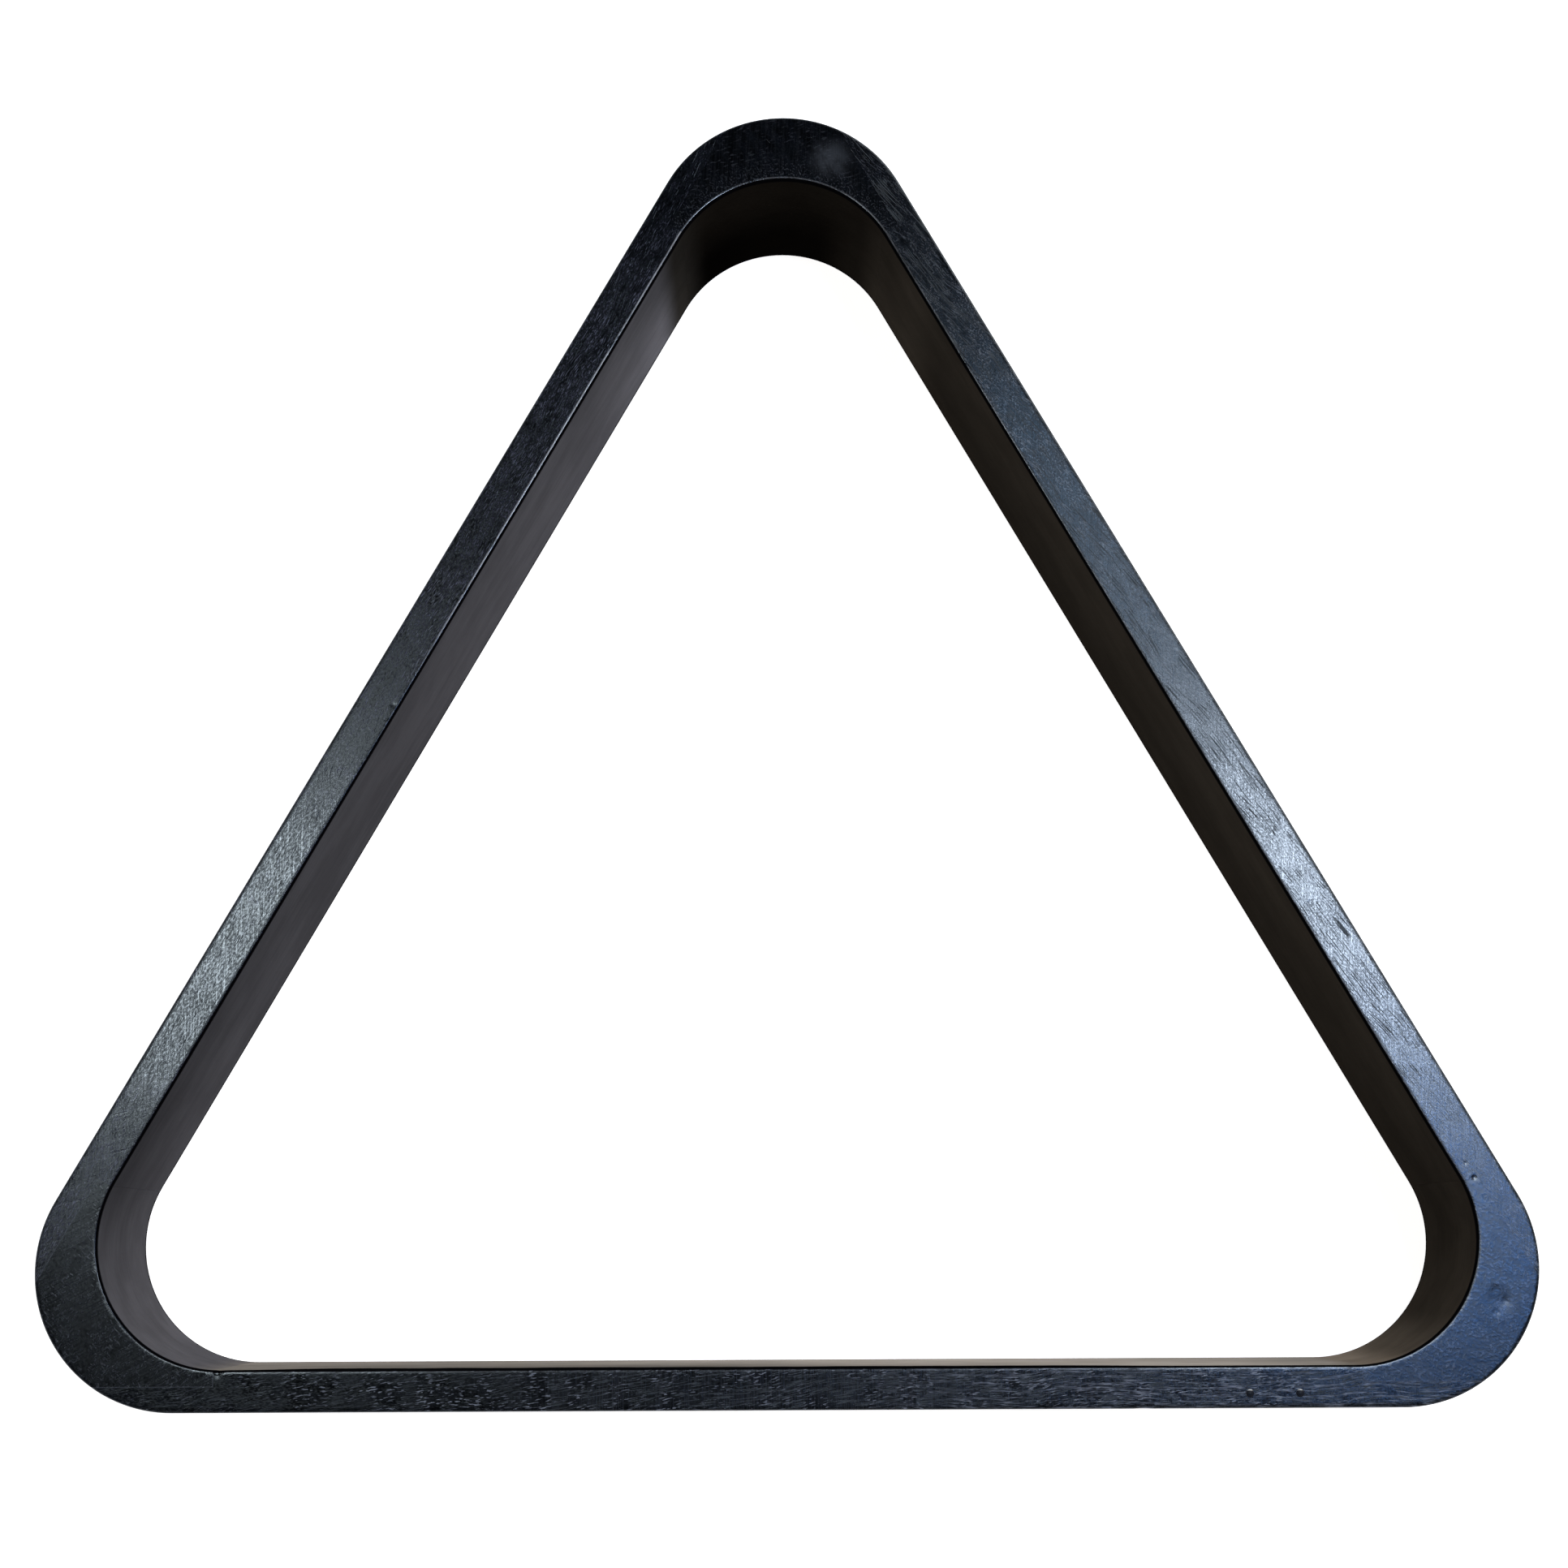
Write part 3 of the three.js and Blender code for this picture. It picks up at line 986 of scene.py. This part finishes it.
def from_seam(points):
    """How far points are from the nearest glue line that shows, at the bottom corners, in millimetres."""
    on_hollow, corner, on_outside, _, _ = joint_points(0, 0)
    path = [on_hollow, corner, on_outside]
    nearest = np.full(len(points), 1e3)
    for turn in (0, TURN):
        plan = turned_plan(in_plan(points), turn)
        for seam in (path, mirrored(path)):
            loop = np.array([*seam, seam[1]])
            nearest = np.minimum(nearest, distance_to(plan, loop) / MM)
    return nearest


def along(points, turn):
    """How far along a rail and round its right corner points are, in mm from the start of the curve."""
    plan = turned_plan(in_plan(points), -turn) - INNER_CENTRE
    angles = np.arctan2(plan[:, 1], plan[:, 0])
    inside_curve = np.clip(angles, -math.pi / 2, TURN - math.pi / 2)
    beyond = np.maximum(plan @ (math.cos(TURN), math.sin(TURN)), 0)
    straight = np.where(angles < -math.pi / 2, plan[:, 0], np.where(angles > TURN - math.pi / 2, beyond, 0))
    return (straight + (inside_curve + math.pi / 2) / TURN * CURVE_LENGTH) / MM


def round_hollow(points, turn):
    """How far round the hollow points are, in millimetres, anticlockwise from the right corner's curve."""
    return along(points, turn) + round(turn / TURN) % 3 * SIDE_LENGTH / MM


def write_attribute(mesh, name, values):
    attribute = mesh.attributes.new(name, "FLOAT", "POINT")
    attribute.data.foreach_set("value", np.asarray(values, dtype=np.float32))


def wooden(name, outline_at, turn, look, holes=()):
    """A rail or a block: its mesh, what its materials need to know of each point, and the materials."""
    centres = turned_plan(np.array([centre for centre, _, _ in DENTS]) * MM, -turn)
    dents = [(centre, radius * MM) for centre, (_, radius, _) in zip(centres, DENTS)]
    bm = plan_solid(outline_at, holes, dents)
    place(bm, turn)
    relief(bm)
    short_name = name.replace("corner_", "")
    face = face_wood(short_name + "_face", turn, look)
    piece = finish_piece(name + "_wood", bm, face, [name])
    mesh = piece.data
    points = np.array([v.co for v in mesh.vertices])
    write_attribute(mesh, "from_rim", from_rim(points))
    write_attribute(mesh, "from_seam", from_seam(points))
    write_attribute(mesh, "round_hollow", round_hollow(points, turn))
    write_attribute(mesh, "along", along(points, turn))
    mesh.materials.append(hollow_wood_with_painted_light(short_name + "_hollow", turn, look["seed"]))
    middles = np.array([f.center for f in mesh.polygons])
    upright = np.array([abs(f.normal.z) < UPRIGHT for f in mesh.polygons])
    # The steep part of the edge's rounding takes the wall's material, whose black rim there is partly painted
    # shade
    in_hollow = upright & (from_hollow(middles) < EDGE_ROUND / MM)
    mesh.polygons.foreach_set("material_index", in_hollow.astype(np.int32))


def pin_profile(name, gap=0.0):
    """Where a pin is in the plan, and its outline as radius and depth below the face, from its head down."""
    low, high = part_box(name)
    middle = (low + high) / 2
    head = (high.x - low.x) / 2 + gap
    shank = PIN_SHANK_RADIUS + gap
    under_head = PIN_HEAD_DEPTH + gap
    shank_end = HEIGHT - low.z - PIN_POINT + gap
    profile = [(head, 0), (head, under_head), (shank, under_head), (shank, shank_end)]
    return (middle.x, middle.y - MIDDLE_Y), profile


def pin(name, material):
    """A brad pin with a domed head, whose point tapers to a small flat."""
    centre, profile = pin_profile(name)
    low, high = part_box(name)
    head, dome = profile[0][0], high.z - HEIGHT
    sphere = (head ** 2 + dome ** 2) / (2 * dome)
    turns = [math.asin(head / sphere) * k / DOME_STEPS for k in range(1, DOME_STEPS)]
    rings = [(sphere * math.sin(a), sphere - dome - sphere * math.cos(a)) for a in turns] + profile
    rings.append((PIN_SHANK_RADIUS * PIN_POINT_SHARE, HEIGHT - low.z))
    bm = bmesh.new()
    loops = [ring_of(bm, circle(centre, radius), HEIGHT - depth) for radius, depth in rings]
    for upper, lower in zip(loops, loops[1:]):
        join_rings(bm, upper, lower)
    crown = bm.verts.new((*centre, high.z))
    for k in range(PIN_SIDES):
        bm.faces.new((loops[0][k], loops[0][(k + 1) % PIN_SIDES], crown))
    bm.faces.new(loops[-1])
    bmesh.ops.recalc_face_normals(bm, faces=bm.faces)
    place(bm, 0)
    finish_piece(name + "_painted", bm, material, [name])


PINS = ("brad_pin_inner", "brad_pin_outer")
pin_holes = [pin_profile(name, GLUE_LINE) for name in PINS]
wooden("bottom_rail", rail_outline, 0, BOTTOM, pin_holes)
wooden("right_rail", rail_outline, TURN, RIGHT)
wooden("left_rail", rail_outline, -TURN, LEFT)
wooden("right_corner_block", block_outline, 0, RIGHT_BLOCK)
wooden("apex_block", block_outline, TURN, APEX_BLOCK)
wooden("left_corner_block", block_outline, -TURN, LEFT_BLOCK)
(_, pin_middle_y), _ = pin_profile(PINS[0])
painted_steel = pin_paint("painted_steel", pin_middle_y / MM, 91.0)
for name in PINS:
    pin(name, painted_steel)


# ---------------------------------------------------------------- floor, light and camera

FLOOR_HALF_WIDTH = 30.0
FLOOR_GLOW = 0.87

# The light from overhead and from the room's sides, and how high, from 0 at the horizon to 1 at the top, the
# one starts and the other ends
OVERHEAD_LIGHT = 0.01
SIDE_LIGHT = 0.6
OVERHEAD_FROM = 0.85
SIDE_UNTIL = 0.55

# Soft square lamps: name, place, width, radiance and colour
LAMPS = [
    ("left_lamp", (-0.327, 0.077, 1.25), 0.17, 18.5, (0.96, 1.0, 0.98)),
    ("right_lamp", (0.322, 0.10, 1.25), 0.2, 34, (0.87, 0.92, 1.0)),
    ("upper_lamp", (0.198, 0.315, 1.25), 0.2, 4.0, (0.53, 0.74, 1.0)),
    ("blue_lamp", (0.42, -0.06, 1.25), 0.2, 8, (0.19, 0.43, 1.0)),
    ("window", (1.6, 1.7, 1.6), 2.0, 2.2, (1.0, 0.97, 0.92)),
]

# The camera looks down from above the rack's near side. Lens in mm, tilts in degrees.
SENSOR_WIDTH = 36
LENS = 72.48
CAMERA_PLACE = (-0.0035, MIDDLE_Y - 0.0721, HEIGHT + 0.6723)
CAMERA_TILTS = (8.513, -0.230, -0.258)


def make_floor():
    """A wide pale floor that glows, like a light table."""
    bm = bmesh.new()
    bmesh.ops.create_grid(bm, x_segments=2, y_segments=2, size=FLOOR_HALF_WIDTH)
    mesh = bpy.data.meshes.new("floor")
    bm.to_mesh(mesh)
    bm.free()
    s = Shader("pale_floor")
    mesh.materials.append(s.finish(
        Base_Color=rgb(0.86, 0.86, 0.86),
        Roughness=0.9,
        Specular_IOR_Level=0.1,
        Emission_Color=rgb(1.0, 0.985, 0.97),
        Emission_Strength=FLOOR_GLOW,
    ))
    floor = bpy.data.objects.new("floor", mesh)
    bpy.context.scene.collection.objects.link(floor)


def softbox(name, place_at, width, radiance, colour):
    """A soft square lamp that faces the middle of the rack."""
    lamp = bpy.data.lights.new(name, "AREA")
    lamp.shape = "SQUARE"
    lamp.size = width
    lamp.energy = radiance * math.pi * width * width
    lamp.color = colour
    obj = bpy.data.objects.new(name, lamp)
    obj.location = place_at
    towards = Vector((0, 0, HEIGHT)) - Vector(place_at)
    obj.rotation_euler = towards.to_track_quat("-Z", "Y").to_euler()
    bpy.context.scene.collection.objects.link(obj)


def make_room():
    """Light from all round, bright from the sides and dim from overhead."""
    world = bpy.data.worlds.new("room")
    world.use_nodes = True
    nodes, links = world.node_tree.nodes, world.node_tree.links
    where = nodes.new("ShaderNodeTexCoord")
    split = nodes.new("ShaderNodeSeparateXYZ")
    fade = nodes.new("ShaderNodeMapRange")
    fade.interpolation_type = "SMOOTHSTEP"
    fade.inputs["From Min"].default_value = OVERHEAD_FROM
    fade.inputs["From Max"].default_value = SIDE_UNTIL
    fade.inputs["To Min"].default_value = OVERHEAD_LIGHT
    fade.inputs["To Max"].default_value = SIDE_LIGHT
    links.new(where.outputs["Generated"], split.inputs["Vector"])
    links.new(split.outputs["Z"], fade.inputs["Value"])
    links.new(fade.outputs["Result"], nodes["Background"].inputs["Strength"])
    nodes["Background"].inputs["Color"].default_value = rgb(0.95, 0.97, 1.0)
    bpy.context.scene.world = world


def make_camera():
    lens = bpy.data.cameras.new("camera")
    lens.sensor_width = SENSOR_WIDTH
    lens.lens = LENS
    camera = bpy.data.objects.new("camera", lens)
    camera.location = CAMERA_PLACE
    camera.rotation_euler = Euler([math.radians(tilt) for tilt in CAMERA_TILTS])
    bpy.context.scene.collection.objects.link(camera)
    bpy.context.scene.camera = camera


make_floor()
make_room()
for lamp_facts in LAMPS:
    softbox(*lamp_facts)
make_camera()
bpy.context.scene.view_settings.view_transform = "Standard"
